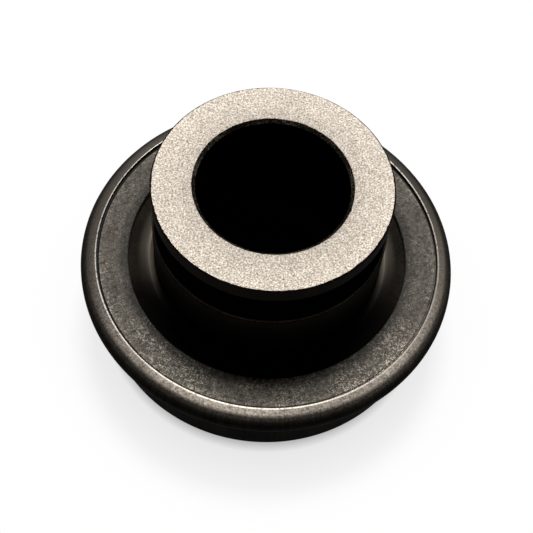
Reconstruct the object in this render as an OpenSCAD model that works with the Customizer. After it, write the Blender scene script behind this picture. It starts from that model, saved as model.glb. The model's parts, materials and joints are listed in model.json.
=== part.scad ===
// Clutch release bearing: a grooved collar held by its base flange in a rolled steel shell,
// with an angular contact ball race that lets the thrust ring spin against the clutch.
// Millimetres. The axis is Z. The thrust ring stands on Z = 0 and the collar points up.

/* [Collar] */
// Diameter of the bore that slides on the guide tube
bore_d = 35; // [32:0.1:38]
// Width of the chamfer at each end of the bore
bore_chamfer = 0.8; // [0.3:0.1:1.5]
// Diameter of the collar above and below the fork groove
collar_d = 55.2; // [53:0.1:60]
// Length of the collar from its base to the ground top face
collar_h = 34; // [30:0.5:45]
// Thickness of the top flange above the fork groove
top_flange_t = 4.2; // [3:0.1:6]
// Width of the fork groove
groove_w = 9.5; // [6:0.1:12]
// Depth of the fork groove
groove_depth = 5.4; // [3:0.1:6]
// Radius at the foot of the fork groove's walls
groove_fillet = 0.8; // [0.3:0.1:1.5]
// Width of the broken edges on the collar
edge_break = 0.4; // [0.2:0.05:0.8]
// Thickness of the base flange
base_flange_t = 3.2; // [2.5:0.1:5]
// Radius between the neck and the base flange
base_fillet = 3; // [1:0.1:4]
// Length of the plain bore below the grease recess
grease_land = 9; // [5:0.5:12]
// Width of the grease recess in the bore
grease_w = 10; // [5:0.5:14]
// Depth of the grease recess in the bore
grease_depth = 1.2; // [0.5:0.1:2]

/* [Back plate] */
// Thickness of the stamped back plate
plate_t = 1.5; // [1:0.1:2.5]
// Diameter of the hole that the collar comes through
plate_hole_d = 67.8; // [62:0.2:76]
// Height of the plate's raised middle above its border
plate_step = 0.3; // [0.1:0.05:0.6]
// Width of the dark line between the raised middle and the rolled lip
plate_line = 0.45; // [0.2:0.05:1]

/* [Shell] */
// Thickness of the shell's sheet steel
shell_t = 0.9; // [0.6:0.05:1.2]
// How far the rolled rim stands out from the cup
rim_reach = 4.65; // [4.4:0.05:6]
// Flat part of the rim's lip beyond its roll
lip_flat = 0.25; // [0.1:0.05:1.5]
// Outside radius of the rolled lip
roll_radius = 3.7; // [2.5:0.1:4]
// Inside radius of the fold under the rim
fold_radius = 1.4; // [0.6:0.1:2]
// Inside radius where the cup turns out to the rim
shoulder_radius = 0.8; // [0.4:0.1:1.5]
// Inside radius of the corner at the front of the cup
front_radius = 0.6; // [0.3:0.1:1.5]
// How far the front edge turns in over the seal
front_lip = 3.3; // [2:0.1:3.6]
// How far the thrust ring stands out of the shell
stand_off = 2.6; // [1.5:0.1:5]

/* [Ball race] */
// Diameter of one ball
ball_d = 8.731; // [7.5:0.001:10]
// Number of balls
ball_count = 18; // [12:1:19]
// Wall of the outer race behind the balls
race_wall = 2.6; // [1.5:0.1:4]
// Height of the outer race
race_h = 15.9; // [14:0.1:20]
// Angle that each raceway wraps on its loaded side
shoulder_angle = 60; // [50:1:65]
// Angle that each raceway wraps on its free side
snap_angle = 12; // [5:1:15]
// Radial thickness of the ball cage
cage_t = 3; // [2:0.1:3.4]
// Rail of the ball cage above and below the pockets
cage_rail = 1; // [0.6:0.1:1.2]

/* [Thrust ring] */
// Diameter of the hole through the thrust ring
ring_bore_d = 48; // [42:0.2:52]
// Wall of the thrust ring behind the balls
ring_wall = 4.4; // [3:0.1:6]
// Width of the seal that shows between the thrust ring and the shell
seal_show = 1.45; // [1:0.05:2.5]
// Radius at the outer edge of the thrust face
face_radius = 1.2; // [0.5:0.1:2]
// Radius at the inner edge of the thrust face
face_inner_radius = 0.8; // [0.4:0.1:1.5]

/* [Seals] */
// Thickness of the front seal
front_seal_t = 1.6; // [1:0.1:2.5]
// Thickness of the rear seal
rear_seal_t = 1.2; // [0.8:0.1:1.6]
// Thickness of each seal's lip
lip_t = 0.6; // [0.4:0.1:0.8]
// Length of each seal's thin lip
lip_w = 1.4; // [0.8:0.1:2]
// Wall of the outer race beside the rear seal
seal_wall = 3.2; // [2:0.1:4]

/* [Clearances] */
// Gap between a ball and each raceway
ball_gap = 0.1; // [0.05:0.01:0.15]
// Gap between a ball and its pocket in the cage
pocket_gap = 0.15; // [0.1:0.01:0.25]
// Gap between a seal's lip and the spinning ring
lip_gap = 0.3; // [0.2:0.05:0.5]
// Gap between the thrust ring's end and the collar
end_gap = 0.5; // [0.3:0.1:1]
// Gap round pieces that are pressed or rolled in place
seat_gap = 0.02; // [0.01:0.01:0.05]
// Gap between the rolled lip and the plate's border
seam_gap = 0.1; // [0.05:0.05:0.2]
// Gap between the collar's base flange and the bend of the plate
float_gap = 0.3; // [0.2:0.1:1]

/* [Hidden] */
$fn = 96;

// Radii from the axis outwards
bore_r = bore_d / 2;
collar_r = collar_d / 2;
groove_r = collar_r - groove_depth;
ball_r = ball_d / 2;
track_r = ball_r + ball_gap;
ring_bore_r = ring_bore_d / 2;
ring_track_r = ring_bore_r + ring_wall;
pitch_r = ring_track_r + track_r;
ring_land_r = pitch_r - track_r * cos(shoulder_angle);
ring_snap_r = pitch_r - track_r * cos(snap_angle);
race_land_r = pitch_r + track_r * cos(shoulder_angle);
race_snap_r = pitch_r + track_r * cos(snap_angle);
race_r = pitch_r + track_r + race_wall;
rear_seal_r = race_r - seal_wall;
cup_in_r = race_r + seat_gap;
cup_r = cup_in_r + shell_t;
front_hole_r = cup_in_r - front_lip;
ring_flange_r = front_hole_r - seal_show;
rim_r = cup_r + rim_reach;

// Heights from the thrust face upwards
cup_floor_z = stand_off + shell_t;
race_z = cup_floor_z + front_seal_t;
collar_z = race_z + race_h;
ball_z = race_z + race_h / 2;
ring_top_z = collar_z - end_gap;
rear_seal_z = collar_z - rear_seal_t;
land_under_z = collar_z + base_flange_t;
land_z = land_under_z + plate_t;
border_z = land_z - plate_step;
lip_under_z = border_z + seam_gap;
lip_z = lip_under_z + shell_t;
top_z = collar_z + collar_h;
groove_top_z = top_z - top_flange_t;
groove_z = groove_top_z - groove_w;

// The roll and the fold share the height of the rim
rim_h = lip_z - collar_z + shell_t;
fold_out_r = min(fold_radius + shell_t, rim_h / 2);
fold_in_r = fold_out_r - shell_t;
roll_out_r = min(roll_radius, rim_h - fold_out_r - seam_gap);
roll_in_r = roll_out_r - shell_t;
roll_z = lip_z - roll_out_r;
fold_z = collar_z - shell_t + fold_out_r;
roll_c = rim_r - roll_out_r;
fold_c = rim_r - fold_out_r;
lip_r = roll_c - lip_flat;

// The plate's border bends down inside the roll, and the collar's base flange lies under its middle
land_r = lip_r - plate_line;
base_flange_r = land_r - float_gap;
border_r = rim_r - shell_t - seam_gap;
plate_bend = max(roll_in_r - seam_gap - plate_t, seam_gap);
plate_bend_out = plate_bend + plate_t;
plate_bend_c = border_r - plate_bend_out;

// What lies between a square corner and its round, whose centre lies towards side and rise.
// It rounds an outer corner when it is cut away and fills an inner corner when it is added.
module corner_web(x, z, r, side, rise) {
    over = r / 4;
    difference() {
        polygon([
            [x - side * over, z - rise * over],
            [x + side * r, z - rise * over],
            [x + side * r, z + rise * r],
            [x - side * over, z + rise * r]
        ]);
        translate([x + side * r, z + rise * r])
            circle(r);
    }
}

// The triangle that a 45 degree chamfer takes off an outer corner that points to side and rise
module bevel(x, z, c, side, rise) {
    polygon([
        [x - side * 2 * c, z + rise * c],
        [x + side * c, z - rise * 2 * c],
        [x + side * c, z + rise * c]
    ]);
}

// A rectangle between two radii and two heights
module band(r_in, r_out, z_low, z_high) {
    translate([r_in, z_low])
        square([r_out - r_in, z_high - z_low]);
}

// A quarter turn of sheet round a bend, in the quadrant that starts at the given angle
module sheet_bend(x, z, r_in, t, angle) {
    translate([x, z])
        intersection() {
            difference() {
                circle(r_in + t);
                circle(r_in);
            }
            rotate(angle)
                square(r_in + t);
        }
}

// The sintered collar: top flange, fork groove, neck and base flange in one piece
module collar() {
    color("#26231f")
        rotate_extrude()
            difference() {
                union() {
                    band(bore_r, collar_r, collar_z, top_z);
                    band(bore_r, base_flange_r, collar_z, land_under_z);
                    corner_web(collar_r, land_under_z, base_fillet, 1, 1);
                }
                fork_groove();
                grease_recess();
                bevel(bore_r, top_z, bore_chamfer, -1, 1);
                bevel(bore_r, collar_z, bore_chamfer, -1, -1);
                bevel(collar_r, top_z, edge_break, 1, 1);
                bevel(collar_r, groove_top_z, edge_break, 1, -1);
                bevel(collar_r, groove_z, edge_break, 1, 1);
                bevel(base_flange_r, collar_z, edge_break, 1, -1);
                bevel(base_flange_r, land_under_z, edge_break, 1, 1);
            }
}

// The section that the fork's fingers run in
module fork_groove() {
    difference() {
        band(groove_r, collar_r + groove_depth, groove_z, groove_top_z);
        corner_web(groove_r, groove_z, groove_fillet, 1, 1);
        corner_web(groove_r, groove_top_z, groove_fillet, 1, -1);
    }
}

// The section of the recess that holds grease inside the bore
module grease_recess() {
    low = collar_z + grease_land;
    high = low + grease_w;
    polygon([
        [bore_r - grease_depth, low - grease_depth],
        [bore_r + grease_depth, low + grease_depth],
        [bore_r + grease_depth, high - grease_depth],
        [bore_r - grease_depth, high + grease_depth]
    ]);
}

// The stamped back plate: a raised middle and a border that bends down inside the rolled rim
module back_plate() {
    hole_r = plate_hole_d / 2;
    color("#6b665f")
        rotate_extrude()
            difference() {
                union() {
                    band(hole_r, land_r, land_under_z, land_z);
                    band(land_r, plate_bend_c, border_z - plate_t, border_z);
                    sheet_bend(plate_bend_c, border_z - plate_bend_out, plate_bend, plate_t, 0);
                }
                bevel(hole_r, land_z, plate_step / 3, -1, 1);
                bevel(land_r, land_z, plate_step / 3, 1, 1);
            }
}

// The drawn shell: cup, shoulder and the rim rolled over the plate's border
module shell() {
    shoulder_c = cup_r + shoulder_radius;
    front_c = cup_in_r - front_radius;
    color("#5f5a53")
        rotate_extrude()
            difference() {
                union() {
                    band(lip_r, roll_c, lip_under_z, lip_z);
                    sheet_bend(roll_c, roll_z, roll_in_r, shell_t, 0);
                    band(rim_r - shell_t, rim_r, fold_z, roll_z);
                    sheet_bend(fold_c, fold_z, fold_in_r, shell_t, 270);
                    band(shoulder_c, fold_c, collar_z - shell_t, collar_z);
                    sheet_bend(shoulder_c, collar_z - shell_t - shoulder_radius, shoulder_radius, shell_t, 90);
                    band(cup_in_r, cup_r, cup_floor_z + front_radius, collar_z - shell_t - shoulder_radius);
                    sheet_bend(front_c, cup_floor_z + front_radius, front_radius, shell_t, 270);
                    band(front_hole_r, front_c, stand_off, cup_floor_z);
                }
                bevel(lip_r, lip_z, shell_t / 5, -1, 1);
                bevel(front_hole_r, stand_off, shell_t / 5, -1, -1);
            }
}

// The section of the track that the balls run in
module ball_track() {
    translate([pitch_r, ball_z])
        circle(track_r);
}

// The outer race, pressed into the cup, with its loaded shoulder above the balls
module outer_race() {
    color("#8d8f92")
        rotate_extrude()
            difference() {
                union() {
                    band(race_snap_r, race_r, race_z, collar_z);
                    band(race_land_r, race_r, ball_z, collar_z);
                }
                ball_track();
                band(race_land_r - seal_wall, rear_seal_r + seat_gap, rear_seal_z - seat_gap, collar_z + rear_seal_t);
                bevel(race_r, race_z, edge_break, 1, -1);
                bevel(race_snap_r, race_z, edge_break, -1, -1);
            }
}

// The thrust ring: the inner race and the flat face that the clutch presses on, in one piece
module thrust_ring() {
    color("#a3a5a8")
        rotate_extrude()
            difference() {
                union() {
                    band(ring_bore_r, ring_flange_r, 0, race_z);
                    band(ring_bore_r, ring_land_r, 0, ball_z);
                    band(ring_bore_r, ring_snap_r, 0, ring_top_z);
                    corner_web(ring_land_r, race_z, edge_break, 1, 1);
                }
                ball_track();
                corner_web(ring_flange_r, 0, face_radius, -1, 1);
                corner_web(ring_bore_r, 0, face_inner_radius, 1, 1);
                bevel(ring_flange_r, race_z, edge_break, 1, 1);
                bevel(ring_bore_r, ring_top_z, edge_break, -1, 1);
                bevel(ring_snap_r, ring_top_z, edge_break, 1, 1);
            }
}

// The moulded ball cage, with a round pocket for each ball
module ball_cage() {
    half_h = ball_r + pocket_gap + cage_rail;
    color("#3d3a2f")
        difference() {
            rotate_extrude()
                difference() {
                    band(pitch_r - cage_t / 2, pitch_r + cage_t / 2, ball_z - half_h, ball_z + half_h);
                    for (rise = [-1, 1]) {
                        bevel(pitch_r - cage_t / 2, ball_z + rise * half_h, edge_break, -1, rise);
                        bevel(pitch_r + cage_t / 2, ball_z + rise * half_h, edge_break, 1, rise);
                    }
                }
            for (i = [1:ball_count])
                at_ball(i)
                    sphere(ball_r + pocket_gap);
        }
}

// Puts its children at the place of one ball
module at_ball(i) {
    rotate([0, 0, (i - 1) * 360 / ball_count])
        translate([pitch_r, 0, ball_z])
            children();
}

// One hardened ball
module ball(i) {
    color("#c9ccd0")
        at_ball(i)
            sphere(ball_r);
}

// The front seal, held between the cup's turned-in edge and the outer race
module front_seal() {
    inner_r = ring_flange_r + lip_gap;
    color("#1b1b1c")
        rotate_extrude()
            difference() {
                band(inner_r, race_r, cup_floor_z, race_z);
                band(inner_r - lip_w, inner_r + lip_w, cup_floor_z + lip_t, race_z + front_seal_t);
                corner_web(race_r, cup_floor_z, front_radius, -1, 1);
            }
}

// The rear seal, held in the back of the outer race by the collar's base flange
module rear_seal() {
    inner_r = ring_snap_r + lip_gap;
    color("#1b1b1c")
        rotate_extrude()
            difference() {
                band(inner_r, rear_seal_r, rear_seal_z, collar_z);
                band(inner_r - lip_w, inner_r + lip_w, rear_seal_z + lip_t, collar_z + rear_seal_t);
            }
}

collar();
back_plate();
shell();
outer_race();
thrust_ring();
ball_cage();
front_seal();
rear_seal();
for (i = [1:ball_count])
    ball(i);
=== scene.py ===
"""Looks of a clutch release bearing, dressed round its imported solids.

The collar, the back plate and the shell are turned from their sections by a Geometry Nodes tree, with each
edge rounded as on the real piece. The race, balls, cage and seals keep their solids and get finishes.
Metres, unless a name or a comment says millimetres. The axis is Z, the thrust face lies on Z = 0 and the
collar points up.
"""

import json
import logging
import math
from collections.abc import Sequence
from dataclasses import dataclass
from enum import Enum
from functools import partial

import bmesh
import bpy
from bpy.types import Material, Mesh, Node, NodeSocket, NodeTree, Object
from mathutils import Matrix, Vector


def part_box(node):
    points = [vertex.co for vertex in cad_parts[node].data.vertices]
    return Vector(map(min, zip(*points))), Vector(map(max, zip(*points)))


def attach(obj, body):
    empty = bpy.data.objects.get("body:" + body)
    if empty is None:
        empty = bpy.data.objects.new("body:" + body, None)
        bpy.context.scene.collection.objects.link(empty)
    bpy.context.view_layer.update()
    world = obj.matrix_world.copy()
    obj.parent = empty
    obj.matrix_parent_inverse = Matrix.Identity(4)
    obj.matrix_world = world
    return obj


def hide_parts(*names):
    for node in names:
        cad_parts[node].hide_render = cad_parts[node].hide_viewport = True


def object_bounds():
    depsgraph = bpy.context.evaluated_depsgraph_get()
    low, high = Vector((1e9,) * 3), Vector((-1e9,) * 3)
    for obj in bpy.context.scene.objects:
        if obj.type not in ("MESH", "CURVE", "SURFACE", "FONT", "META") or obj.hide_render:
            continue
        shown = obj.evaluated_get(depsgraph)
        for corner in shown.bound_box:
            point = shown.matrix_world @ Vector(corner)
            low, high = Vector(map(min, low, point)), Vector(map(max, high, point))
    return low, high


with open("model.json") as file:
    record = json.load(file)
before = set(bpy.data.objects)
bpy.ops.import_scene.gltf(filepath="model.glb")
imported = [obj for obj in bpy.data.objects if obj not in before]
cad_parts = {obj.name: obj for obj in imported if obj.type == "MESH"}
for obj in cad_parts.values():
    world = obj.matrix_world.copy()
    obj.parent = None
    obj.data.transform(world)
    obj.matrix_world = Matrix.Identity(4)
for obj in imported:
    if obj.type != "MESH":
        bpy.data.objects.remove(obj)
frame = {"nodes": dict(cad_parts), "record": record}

LOG = logging.getLogger("release_bearing")
MM = 0.001
CAD_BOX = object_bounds()
PICTURE_PX = 533
SENSOR_MM = 36.0
COLLAR_BODY = "collar_unit"
# Steps round a ring, and the angle of a step round a corner.
RING_SEGMENTS = 320
ARC_STEP = math.radians(9)
# The rounding of a sharp edge, the stretch beside a rounding that is held flat, and how near points merge.
EDGE_ROUND = 0.07 * MM
HOLD = 0.05 * MM
WELD = 0.001 * MM
# The side that the camera sees, in degrees from +X toward +Y.
FRONT = -90.0

# A node, which stands for its first output in use, or one of its sockets.
Source = Node | NodeSocket
# What an input takes: a source, a value or an sRGB hex colour.
Setting = Source | float | tuple[float, ...] | str
# The low and the high end of a pattern and, where they aren't 0 and 1, the levels there.
Span = tuple[float, ...]
# Pairs of a place and the level there, with the places rising.
Stops = tuple[tuple[float, float], ...]


class Slot(str, Enum):
    """The record's material slots of the turned pieces."""

    SINTERED_IRON = "sintered_iron"
    PLATE_STEEL = "plate_steel"
    SHELL_STEEL = "shell_steel"


class Kind(Enum):
    """The kinds of node in use, each with its type name and its settings."""

    ADD = ("ShaderNodeMath", {"operation": "ADD"})
    SUBTRACT = ("ShaderNodeMath", {"operation": "SUBTRACT"})
    MULTIPLY = ("ShaderNodeMath", {"operation": "MULTIPLY"})
    DIVIDE = ("ShaderNodeMath", {"operation": "DIVIDE"})
    MULTIPLY_ADD = ("ShaderNodeMath", {"operation": "MULTIPLY_ADD"})
    MAXIMUM = ("ShaderNodeMath", {"operation": "MAXIMUM"})
    MODULO = ("ShaderNodeMath", {"operation": "MODULO"})
    FLOOR = ("ShaderNodeMath", {"operation": "FLOOR"})
    LESS_THAN = ("ShaderNodeMath", {"operation": "LESS_THAN"})
    GREATER_THAN = ("ShaderNodeMath", {"operation": "GREATER_THAN"})
    FLATTEN = ("ShaderNodeVectorMath", {"operation": "MULTIPLY"})
    SHIFT = ("ShaderNodeVectorMath", {"operation": "SUBTRACT"})
    DOT = ("ShaderNodeVectorMath", {"operation": "DOT_PRODUCT"})
    LENGTH = ("ShaderNodeVectorMath", {"operation": "LENGTH"})
    NORMALIZE = ("ShaderNodeVectorMath", {"operation": "NORMALIZE"})
    SCALE = ("ShaderNodeVectorMath", {"operation": "SCALE"})
    MIX = ("ShaderNodeMix", {})
    MIX_COLOUR = ("ShaderNodeMix", {"data_type": "RGBA"})
    MIX_SHADER = ("ShaderNodeMixShader", {})
    NOISE = ("ShaderNodeTexNoise", {})
    NOISE_1D = ("ShaderNodeTexNoise", {"noise_dimensions": "1D"})
    CELLS = ("ShaderNodeTexVoronoi", {})
    CELLS_2D = ("ShaderNodeTexVoronoi", {"voronoi_dimensions": "2D"})
    RANGE = ("ShaderNodeMapRange", {})
    SMOOTH_RANGE = ("ShaderNodeMapRange", {"interpolation_type": "SMOOTHSTEP"})
    RAMP = ("ShaderNodeValToRGB", {})
    BUMP = ("ShaderNodeBump", {})
    TANGENT = ("ShaderNodeTangent", {"direction_type": "RADIAL", "axis": "Z"})
    COORDINATES = ("ShaderNodeTexCoord", {})
    SEPARATE = ("ShaderNodeSeparateXYZ", {})
    COMBINE = ("ShaderNodeCombineXYZ", {})
    LIGHT_PATH = ("ShaderNodeLightPath", {})
    EMISSION = ("ShaderNodeEmission", {})
    GROUP_INPUT = ("NodeGroupInput", {})
    GROUP_OUTPUT = ("NodeGroupOutput", {})
    GRID = ("GeometryNodeMeshGrid", {})
    INDEX = ("GeometryNodeInputIndex", {})
    POSITION = ("GeometryNodeInputPosition", {})
    SAMPLE_INDEX = ("GeometryNodeSampleIndex", {"data_type": "FLOAT_VECTOR", "domain": "POINT"})
    ROTATE_Z = ("ShaderNodeVectorRotate", {"rotation_type": "Z_AXIS"})
    SET_POSITION = ("GeometryNodeSetPosition", {})
    MERGE = ("GeometryNodeMergeByDistance", {})
    SHADE_SMOOTH = ("GeometryNodeSetShadeSmooth", {})
    REALIZE = ("GeometryNodeRealizeInstances", {})
    SET_MATERIAL = ("GeometryNodeSetMaterial", {})


def linear(hex_colour: str) -> tuple[float, float, float, float]:
    """Turns an sRGB hex colour into linear light.

    Args:
        hex_colour: Six hex digits with a leading hash.

    Returns:
        Red, green, blue and an alpha of 1.
    """
    parts = [int(hex_colour[i:i + 2], 16) / 255 for i in (1, 3, 5)]
    light = [c / 12.92 if c <= 0.04045 else ((c + 0.055) / 1.055) ** 2.4 for c in parts]
    return (light[0], light[1], light[2], 1.0)


def per_mm(size_mm: float) -> float:
    """Returns the texture scale at which one feature is size_mm wide."""
    return 1 / (size_mm * MM)


def join(tree: NodeTree, value: Setting, socket: NodeSocket) -> None:
    """Links a node or a socket to an input, or sets the input to a value or a colour.

    Args:
        tree: The tree that holds the input.
        value: What the input takes.
        socket: The input.
    """
    if isinstance(value, Node):
        value = next(output for output in value.outputs if output.enabled)
    if isinstance(value, NodeSocket):
        tree.links.new(value, socket)
    else:
        socket.default_value = linear(value) if isinstance(value, str) else value


def add_node(tree: NodeTree, kind: Kind, *inputs: Setting, **named: Setting) -> Node:
    """Adds a node to a tree with its settings and links.

    Args:
        tree: The tree that gets the node.
        kind: The kind of node, with its settings.
        *inputs: What the inputs in use take, in their order.
        **named: What further inputs take, by their names with _ for a space.

    Returns:
        The new node.
    """
    type_name, settings = kind.value
    node = tree.nodes.new(type_name)
    for key, value in settings.items():
        setattr(node, key, value)
    sockets = [socket for socket in node.inputs if socket.enabled]
    for socket, value in zip(sockets, inputs):
        join(tree, value, socket)
    for key, value in named.items():
        name = key.replace("_", " ")
        join(tree, value, next(socket for socket in sockets if socket.name == name))
    return node


def find_node(tree: NodeTree, type_code: str) -> Node:
    """Returns the first node of a type that a new tree starts with."""
    return next(node for node in tree.nodes if node.type == type_code)


def add_object(name: str, data: bpy.types.ID) -> Object:
    """Adds an object to the scene.

    Args:
        name: The object's name.
        data: Its mesh, lamp or camera.

    Returns:
        The new object.
    """
    obj = bpy.data.objects.new(name, data)
    bpy.context.scene.collection.objects.link(obj)
    return obj


@dataclass(frozen=True)
class Corner:
    """A corner of a turned section.

    Attributes:
        out: Distance from the axis.
        up: Height.
        round_by: Radius that rounds the corner.
    """

    out: float
    up: float
    round_by: float = EDGE_ROUND


def trace(corners: Sequence[Corner]) -> list[Vector]:
    """Traces a closed section, rounding its corners and holding its straight stretches flat.

    Args:
        corners: The corners in order, solid on the left.

    Returns:
        The points of the section, with distance from the axis on X and height on Y.
    """
    spots = [Vector((c.out, c.up)) for c in corners]
    points: list[Vector] = []
    for i, corner in enumerate(corners):
        here = spots[i]
        back = spots[i - 1] - here
        ahead = spots[(i + 1) % len(spots)] - here
        opening = back.angle(ahead)
        reach = corner.round_by / math.tan(opening / 2)
        centre = here + (back.normalized() + ahead.normalized()).normalized() * (
            corner.round_by / math.sin(opening / 2)
        )
        first = here + back.normalized() * reach - centre
        last = here + ahead.normalized() * reach - centre
        sweep = first.angle_signed(last)
        steps = max(2, math.ceil(abs(sweep) / ARC_STEP))
        points.append(here + back.normalized() * (reach + HOLD))
        for step in range(steps + 1):
            points.append(centre + Matrix.Rotation(-sweep * step / steps, 2) @ first)
        points.append(here + ahead.normalized() * (reach + HOLD))
    return points


class TurningTree:
    """Geometry Nodes that turn a section about the Z axis into a closed ring."""

    def __init__(self) -> None:
        """Builds the tree with its named inputs."""
        self.tree = bpy.data.node_groups.new("turn_section", "GeometryNodeTree")
        self.inputs: dict[str, str] = {}
        face = self.tree.interface
        face.new_socket("Section", in_out="INPUT", socket_type="NodeSocketGeometry")
        for name, kind in (
            ("Points", "NodeSocketInt"),
            ("Segments", "NodeSocketInt"),
            ("Finish", "NodeSocketMaterial"),
        ):
            self.inputs[name] = face.new_socket(name, in_out="INPUT", socket_type=kind).identifier
        face.new_socket("Ring", in_out="OUTPUT", socket_type="NodeSocketGeometry")
        self._wire()

    def _wire(self) -> None:
        """Adds the nodes: a grid whose rows are the section's points and whose columns go round the axis."""
        add = partial(add_node, self.tree)
        given = add(Kind.GROUP_INPUT).outputs
        points, segments = given["Points"], given["Segments"]
        rows = add(Kind.ADD, points, 1.0)
        columns = add(Kind.ADD, segments, 1.0)
        grid = add(Kind.GRID, Vertices_X=columns, Vertices_Y=rows)
        index = add(Kind.INDEX)
        row = add(Kind.MODULO, index, rows)
        point = add(Kind.MODULO, row, points)
        share = add(Kind.DIVIDE, index, rows)
        column = add(Kind.FLOOR, share)
        place = add(Kind.MODULO, column, segments)
        part = add(Kind.DIVIDE, place, segments)
        turn = add(Kind.MULTIPLY, part, math.tau)
        position = add(Kind.POSITION)
        spot = add(Kind.SAMPLE_INDEX, Geometry=given["Section"], Value=position, Index=point)
        turned = add(Kind.ROTATE_Z, spot, Angle=turn)
        placed = add(Kind.SET_POSITION, grid, Position=turned)
        welded = add(Kind.MERGE, placed, Distance=WELD)
        smooth = add(Kind.SHADE_SMOOTH, welded)
        real = add(Kind.REALIZE, smooth)
        dressed = add(Kind.SET_MATERIAL, real, Material=given["Finish"])
        add(Kind.GROUP_OUTPUT, dressed)

    def turn(self, name: str, corners: Sequence[Corner], finish: Material) -> Object:
        """Turns a section into a plain mesh object.

        Args:
            name: The piece's name.
            corners: The corners of its section.
            finish: Its material.

        Returns:
            The new object, at the origin, with no modifier left on it.
        """
        points = trace(corners)
        outline = bpy.data.meshes.new(name + "_section")
        outline.from_pydata([(p.x, 0.0, p.y) for p in points], [], [])
        piece = add_object(name, outline)
        modifier = piece.modifiers.new("turn", "NODES")
        modifier.node_group = self.tree
        modifier[self.inputs["Points"]] = len(points)
        modifier[self.inputs["Segments"]] = RING_SEGMENTS
        modifier[self.inputs["Finish"]] = finish
        graph = bpy.context.evaluated_depsgraph_get()
        mesh = bpy.data.meshes.new_from_object(piece.evaluated_get(graph), depsgraph=graph)
        piece.modifiers.remove(modifier)
        piece.data = mesh
        bpy.data.meshes.remove(outline)
        mesh.name = name
        self._face_outwards(mesh)
        return piece

    @staticmethod
    def _face_outwards(mesh: Mesh) -> None:
        """Recalculates the normals of a closed mesh so that its faces point outwards.

        Args:
            mesh: The mesh, which is reported if it isn't closed.
        """
        shape = bmesh.new()
        shape.from_mesh(mesh)
        bmesh.ops.recalc_face_normals(shape, faces=shape.faces)
        open_edges = sum(not edge.is_manifold for edge in shape.edges)
        if open_edges:
            LOG.warning("%s has %d open edges", mesh.name, open_edges)
        shape.to_mesh(mesh)
        shape.free()


@dataclass(frozen=True)
class Sweep:
    """A level that changes across a piece toward one side.

    Attributes:
        toward: The side, in degrees from +X toward +Y.
        stops: Pairs of a distance from the axis toward that side, in millimetres, and the level there.
    """

    toward: float
    stops: Stops


class Surface:
    """A new node material with its shader, and the places on a turned piece that its patterns read."""

    def __init__(self, name: str) -> None:
        """Starts the material.

        Args:
            name: The material's name.
        """
        self.material = bpy.data.materials.new(name)
        self.material.use_nodes = True
        self.tree = self.material.node_tree
        self.shader = find_node(self.tree, "BSDF_PRINCIPLED")
        self.place = self.add(Kind.COORDINATES).outputs["Object"]
        self.height = self.add(Kind.SEPARATE, self.place).outputs["Z"]
        self.flat = self.add(Kind.FLATTEN, self.place, (1.0, 1.0, 0.0))
        self.radius = self.add(Kind.LENGTH, self.flat)
        self.around = self.add(Kind.NORMALIZE, self.flat)

    def add(self, kind: Kind, *inputs: Setting, **named: Setting) -> Node:
        """Adds a node to this material, as add_node does."""
        return add_node(self.tree, kind, *inputs, **named)

    def along(self, azimuth: float) -> Node:
        """Adds the distance from the axis toward one side, given in degrees from +X toward +Y."""
        side = math.radians(azimuth)
        return self.add(Kind.DOT, self.flat, (math.cos(side), math.sin(side), 0.0))

    def radius_about(self, off_centre: tuple[float, float]) -> Node:
        """Adds the distance from an upright line that stands a little off the axis."""
        return self.add(Kind.LENGTH, self.add(Kind.SHIFT, self.flat, (*off_centre, 0.0)))

    def by_stops(self, value: Source, stops: Stops, unit: float, start: float = 0.0) -> Node:
        """Adds a level that follows straight lines between its stops.

        Args:
            value: What the level goes by.
            stops: Pairs of a place and the level there, with the places rising.
            unit: The length that the places are counted in.
            start: Where they are counted from.

        Returns:
            The node with the level.
        """
        low, high = stops[0][0], stops[-1][0]
        share = self.add(Kind.RANGE, value, start + low * unit, start + high * unit)
        node = self.add(Kind.RAMP, share)
        band = node.color_ramp.elements
        for at, _ in stops[1:-1]:
            band.new((at - low) / (high - low))
        for element, (_, level) in zip(band, stops):
            element.color = (level, level, level, 1.0)
        return node

    def sweep(self, sweep: Sweep) -> Node:
        """Adds the level of a sweep across the piece."""
        return self.by_stops(self.along(sweep.toward), sweep.stops, MM)

    def shade(self, **sockets: Setting) -> Material:
        """Sets or links the shader's sockets.

        Args:
            **sockets: What the shader's inputs take, by their names with _ for a space.

        Returns:
            The finished material.
        """
        for key, value in sockets.items():
            join(self.tree, value, self.shader.inputs[key.replace("_", " ")])
        return self.material


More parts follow.
